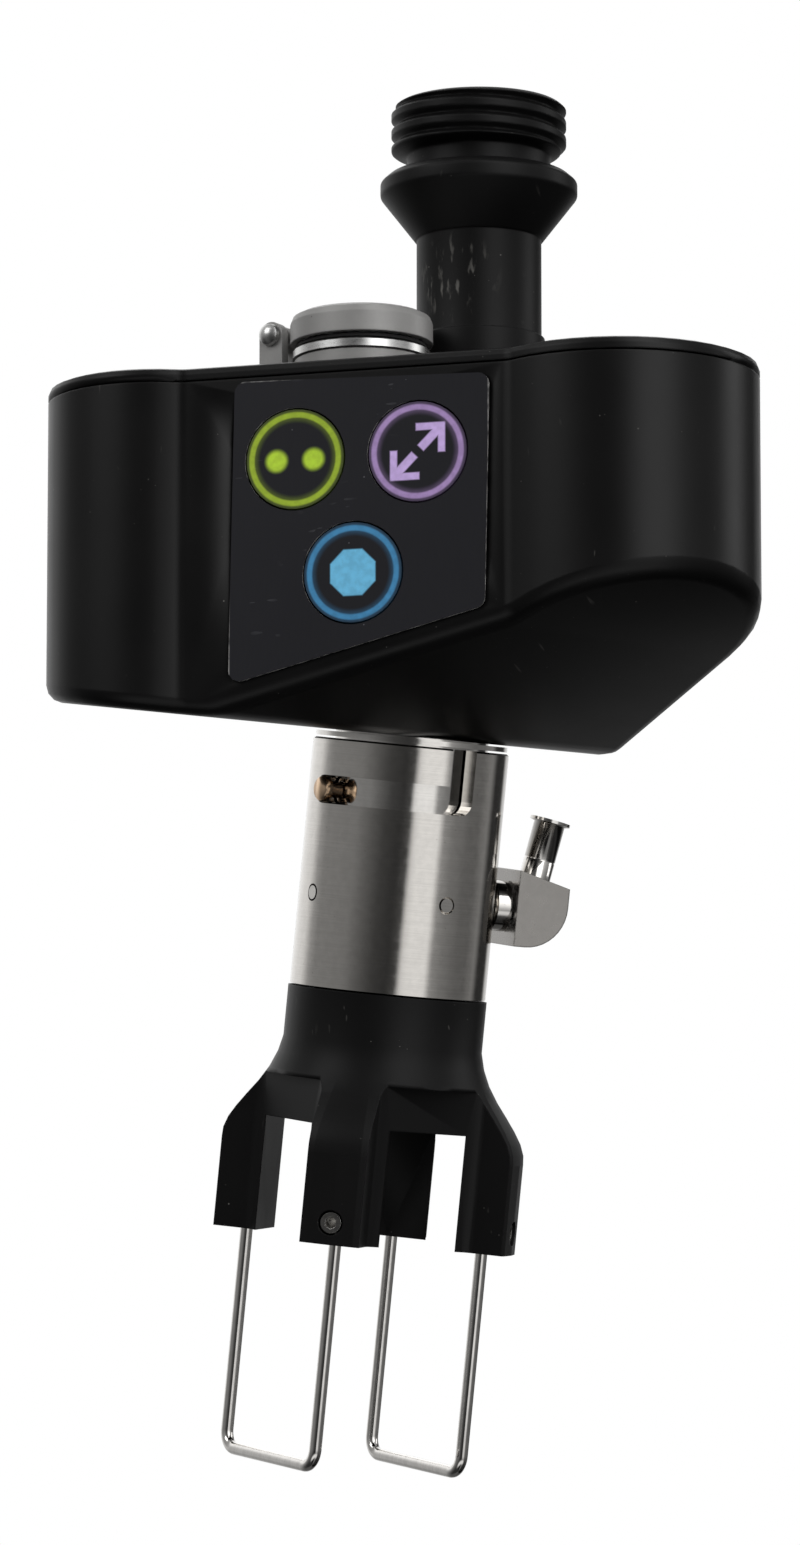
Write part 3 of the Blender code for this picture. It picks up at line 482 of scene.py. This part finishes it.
def round_corner(points, radius, steps=4):
    """Rounds the inner corners of an open polyline of (r, z)."""
    out = [points[0]]
    for before, here, after in zip(points, points[1:], points[2:]):
        a = Vector(before) - Vector(here)
        b = Vector(after) - Vector(here)
        cut = min(radius, a.length * 0.45, b.length * 0.45)
        p, q = Vector(here) + a.normalized() * cut, Vector(here) + b.normalized() * cut
        for i in range(steps + 1):
            t = i / steps
            out.append(tuple(p * (1 - t) ** 2 + Vector(here) * 2 * t * (1 - t) + q * t ** 2))
    out.append(points[-1])
    return out


def thread_radius(z, angle):
    """Radius of a rounded screw thread that fades in at the top and out above the neck."""
    pitch, root, crest, neck = 2.8, 13.45, 14.4, NECK_R
    phase = (-z - 1.5) / pitch - angle / (2 * math.pi) + 0.35
    wave = 0.5 + 0.5 * math.cos(2 * math.pi * phase)
    ridge = min(1.0, wave * 1.5) ** 0.7
    full = min(1.0, max(0.0, -z / 0.9))
    out = max(0.0, min(1.0, (z - NECK_Z) / 1.3))
    r = root + (crest - root) * ridge
    r = min(r, 13.0 + 1.4 * full ** 0.6)
    return neck + (r - neck) * (3 * out ** 2 - 2 * out ** 3)


def arm_tube(material):
    """The threaded arm end in one piece: thread, neck, collar, tube, boss and bore."""
    rings = [(12.4, 0.0), (12.8, -0.02)]
    first, count = -0.1, 66
    for i in range(count + 1):
        z = first + (NECK_Z - first) * i / count
        rings.append((lambda angle, z=z: thread_radius(z, angle), z))
    corner = [(NECK_R, -9.2), (NECK_R, -12.0), (14.7, -12.0), (16.2, -13.3), (16.2, -15.4), (10.5, -22.8),
              (10.25, -22.9), (10.25, -39.4), (10.8, -39.4), (10.8, -48.2)]
    rings += round_corner(corner, 0.35)
    rings += [(9.0, -48.2), (9.0, -53.0), (7.5, -53.0), (7.5, -0.4), (7.8, 0.0)]
    add_piece(grid_of_revolution("arm_tube_skin", rings), "arm_tube", material, 40.0)


def wire_loop(name, first, second, material):
    """A smooth round wire along the CAD wire's own route."""
    at, end_z, bend, top = 19.95, -118.3, 2.9, -70.5
    ends = []
    for leg in (first, second):
        angle = math.radians(90.0 * leg)
        ends.append(Vector((math.sin(angle), -math.cos(angle), 0.0)) * at)
    across = (ends[1] - ends[0]).normalized()
    route = [ends[0] + Vector((0, 0, z)) for z in (top, -83.0, -98.0)]
    for end, way, turns in ((ends[0], across, range(13)), (ends[1], -across, range(12, -1, -1))):
        centre = end + way * bend + Vector((0, 0, end_z + bend))
        for turn in turns:
            a = math.pi / 2 * turn / 12
            route.append(centre + (-way * math.cos(a) - Vector((0, 0, 1)) * math.sin(a)) * bend)
    route += [ends[1] + Vector((0, 0, z)) for z in (-98.0, -83.0, top)]
    curve = bpy.data.curves.new(name, "CURVE")
    curve.dimensions = "3D"
    curve.bevel_depth = 1.025 * MM
    curve.bevel_resolution = 6
    curve.use_fill_caps = True
    spline = curve.splines.new("POLY")
    spline.points.add(len(route) - 1)
    for point, position in zip(spline.points, route):
        point.co = (*(LEG_FRAME @ (position * MM)), 1.0)
    guide = bpy.data.objects.new(name, curve)
    bpy.context.scene.collection.objects.link(guide)
    bpy.context.view_layer.update()
    mesh = bpy.data.meshes.new_from_object(guide.evaluated_get(bpy.context.evaluated_depsgraph_get()))
    bpy.data.objects.remove(guide)
    mesh.name = name + "_skin"
    add_piece(mesh, name, material, 50.0)


# ---------------------------------------------------------------- build
black = black_metal("black_housing", 0.0045, 0.34, 0.24, 0.45, 0.0004)
black_tube = black_metal("black_tube", 0.0045, 0.44, 0.18, 0.4, 0.0003, ((-1.8, -10.1, -31.0), 9.0))
black_crown = black_metal("black_crown", 0.0055, 0.44, 0.18, 0.6, 0.0003)
sleeve_steel = steel("sleeve_steel", (0.70, 0.675, 0.64), 0.11, SLEEVE_TOP, (60.0, 60.0, 9000.0), flat=0.02)
bright_steel = steel("bright_steel", (0.74, 0.72, 0.69), 0.10, SLEEVE_TOP)
wire_steel = steel("wire_steel", (0.80, 0.78, 0.75), 0.07, LEG_FRAME, (2500.0, 2500.0, 120.0), 0.05)
nozzle_steel = steel("nozzle_steel", (0.30, 0.288, 0.273), 0.24, NOZZLE_FRAME, (4000.0, 60.0, 60.0), 0.03,
                     edge=0.0003, flat=0.2)
ring_steel = steel("ring_steel", (0.72, 0.72, 0.71), 0.28, SOCKET_FRAME)
dark_steel = steel("dark_steel", (0.10, 0.10, 0.10), 0.35)
# darker tint than the other steels: painted shade for the shaded hex sockets, laid over the whole screw
screw_steel_painted_shade = steel("screw_steel_painted_shade", (0.45, 0.44, 0.42), 0.22, None, (900.0, 900.0, 900.0), 0.1, 0.0002)
brass = steel("pin_brass", (0.86, 0.62, 0.42), 0.22, SLEEVE_TOP, edge=0.0002)
grey = grey_cast("grey_cast_look")
rubber = plain("seal_rubber", (0.008, 0.008, 0.008), 0.7)
insert = plain("insert_plastic", (0.02, 0.02, 0.02), 0.45)
board = plain("board_green", (0.01, 0.08, 0.03), 0.4, 0.0, 900.0)
mirror = plain("mirror_coat", (0.8, 0.8, 0.82), 0.04, 1.0, 200.0, 0.05)

LOOK = {
    "housing_shell": black, "housing_cover": black, "crown": black_crown,
    "socket_body": grey, "socket_cap": grey, "hinge_bracket": grey, "motor_bracket": grey,
    "socket_ring": ring_steel, "hinge_pin": ring_steel, "socket_seal": rubber, "socket_insert": insert,
    "keypad_label": film("film_overlay"), "spigot": bright_steel, "spigot_nut": dark_steel,
    "bayonet_pin": brass, "sleeve": sleeve_steel, "nozzle_stem": bright_steel, "nozzle_elbow": nozzle_steel,
    "hose_barb": bright_steel, "focus_lens": glass("lens_look"), "lens_ring": dark_steel,
    "keypad_board": board, "driver_board": board, "fold_mirror": mirror, "scan_mirror_x": mirror,
    "scan_mirror_y": mirror, "scan_motor_x": dark_steel, "scan_motor_y": dark_steel,
}
KEY_LOOKS = {
    "key_dots": ((0.30, 0.42, 0.03), (0.42, 0.62, 0.04), icon_dots),
    "key_arrows": ((0.36, 0.24, 0.48), (0.55, 0.40, 0.74), icon_arrows),
    "key_stop": ((0.05, 0.22, 0.42), (0.14, 0.46, 0.70), icon_octagon),
}
for node, (ring_colour, icon_colour, icon) in KEY_LOOKS.items():
    low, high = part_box(node)
    centre = ((low[0] + high[0]) / 2, (low[2] + high[2]) / 2)
    LOOK[node] = key_film(node + "_film", centre, ring_colour, icon_colour, icon)
for node in NODES:
    if node.startswith("cover_screw"):
        LOOK[node] = dark_steel
    elif node.startswith("sleeve_plug"):
        LOOK[node] = bright_steel
    elif node.startswith("wire_screw"):
        LOOK[node] = screw_steel_painted_shade

arm_tube(black_tube)
wire_loop("wire_loop_left", 3, 0, wire_steel)
wire_loop("wire_loop_right", 1, 2, wire_steel)
for node, look in LOOK.items():
    refined(node, look, 14.0 if node == "crown" else 32.0)


# ---------------------------------------------------------------- studio
def studio():
    """The camera sees white. Reflections see bright and dark panels by azimuth, and a low one in front."""
    world = bpy.data.worlds.new("studio")
    bpy.context.scene.world = world
    world.use_nodes = True
    tree = world.node_tree
    tree.nodes.clear()
    output = tree.nodes.new("ShaderNodeOutputWorld")
    seen = tree.nodes.new("ShaderNodeBackground")
    lit = tree.nodes.new("ShaderNodeBackground")
    mixer = tree.nodes.new("ShaderNodeMixShader")
    path = tree.nodes.new("ShaderNodeLightPath")
    direction = tree.nodes.new("ShaderNodeTexCoord").outputs["Generated"]
    x, y, z = split(tree, direction)
    turn = calc(tree, "ARCTAN2", x, calc(tree, "MULTIPLY", y, -1.0))
    turn = calc(tree, "ADD", calc(tree, "DIVIDE", turn, 2 * math.pi), 0.5 - 16.74 / 360.0)
    turn = calc(tree, "FRACT", calc(tree, "ADD", turn, 1.0))
    ramp = tree.nodes.new("ShaderNodeValToRGB")
    stops = [(-180, 0.55), (-125, 0.42), (-112, 0.20), (-100, 0.14), (-56, 0.15), (-40, 0.10), (-22, 0.05),
             (-4, 0.035), (7, 0.06), (13, 0.85), (20, 1.0), (42, 1.0), (50, 0.32), (62, 0.21), (84, 0.12),
             (100, 0.10), (116, 0.16), (126, 0.02), (146, 0.02), (158, 0.35), (180, 0.45)]
    elements = ramp.color_ramp.elements
    elements[0].position, elements[-1].position = 0.0, 1.0
    for degrees, level in stops[1:-1]:
        elements.new((degrees + 180.0) / 360.0)
    for element, (_, level) in zip(sorted(elements, key=lambda e: e.position), stops):
        element.color = (level, level, level, 1.0)
    tree.links.new(turn, ramp.inputs["Fac"])
    height = step(tree, z, -0.75, 0.6, 0.2, 2.5)
    front = step(tree, calc(tree, "ABSOLUTE", calc(tree, "SUBTRACT", turn, 0.5)), 0.10, 0.22, 1.0, 0.0)
    low = calc(tree, "MULTIPLY", step(tree, z, -0.9, -0.7), step(tree, z, -0.62, -0.42, 1.0, 0.0))
    level = calc(tree, "MULTIPLY", front, low)
    panel = blend_colour(tree, level, ramp.outputs["Color"], (1.0, 1.0, 1.0, 1.0))
    tree.links.new(panel, lit.inputs["Color"])
    tree.links.new(calc(tree, "MAXIMUM", height, calc(tree, "MULTIPLY", level, 0.9)), lit.inputs["Strength"])
    seen.inputs["Color"].default_value = (1.0, 1.0, 1.0, 1.0)
    tree.links.new(path.outputs["Is Camera Ray"], mixer.inputs[0])
    tree.links.new(lit.outputs[0], mixer.inputs[1])
    tree.links.new(seen.outputs[0], mixer.inputs[2])
    tree.links.new(mixer.outputs[0], output.inputs[0])


def around(azimuth, elevation, distance, target):
    a, e = math.radians(azimuth), math.radians(elevation)
    back = Vector((math.sin(a) * math.cos(e), -math.cos(a) * math.cos(e), math.sin(e)))
    return target + back * distance, (-back).to_track_quat("-Z", "Y")


def soft_light(name, azimuth, elevation, distance, width, height, power):
    light = bpy.data.lights.new(name, "AREA")
    light.shape = "RECTANGLE"
    light.size, light.size_y = width, height
    light.energy = power
    obj = bpy.data.objects.new(name, light)
    obj.location, turn = around(azimuth, elevation, distance, Vector((0, 0, -0.11)))
    obj.rotation_mode = "QUATERNION"
    obj.rotation_quaternion = turn
    obj.visible_camera = False
    bpy.context.scene.collection.objects.link(obj)


def floor():
    bm = bmesh.new()
    bmesh.ops.create_grid(bm, x_segments=2, y_segments=2, size=6.0, matrix=Matrix.Translation((0, 0, -0.40)))
    mesh = bpy.data.meshes.new("floor")
    bm.to_mesh(mesh)
    bm.free()
    obj = bpy.data.objects.new("floor", mesh)
    bpy.context.scene.collection.objects.link(obj)
    mat, tree, shader = new_material("pale_floor")
    vector = object_coords(tree)
    link(tree, blend_colour(tree, noise(tree, vector, 3.0), (0.78, 0.78, 0.78, 1), (0.82, 0.82, 0.82, 1)),
         shader.inputs["Base Color"])
    shader.inputs["Roughness"].default_value = 0.9
    mesh.materials.append(mat)
    obj.visible_diffuse = False
    obj.visible_glossy = False


def camera():
    data = bpy.data.cameras.new("camera")
    data.sensor_width = 36.0
    data.lens = 196.4
    obj = bpy.data.objects.new("camera", data)
    obj.location, turn = around(16.74, -10.1, 1.3488, Vector((-0.00666, -0.0229, -0.1150)))
    obj.rotation_mode = "QUATERNION"
    obj.rotation_quaternion = turn
    data.clip_start, data.clip_end = 0.05, 50.0
    bpy.context.scene.collection.objects.link(obj)
    bpy.context.scene.camera = obj


studio()
soft_light("key_left", -40.0, 35.0, 0.9, 0.5, 0.5, 1.6)
soft_light("rim_right", 120.0, 20.0, 0.9, 0.3, 0.6, 0.9)
floor()
camera()
bpy.context.scene.view_settings.view_transform = "Standard"
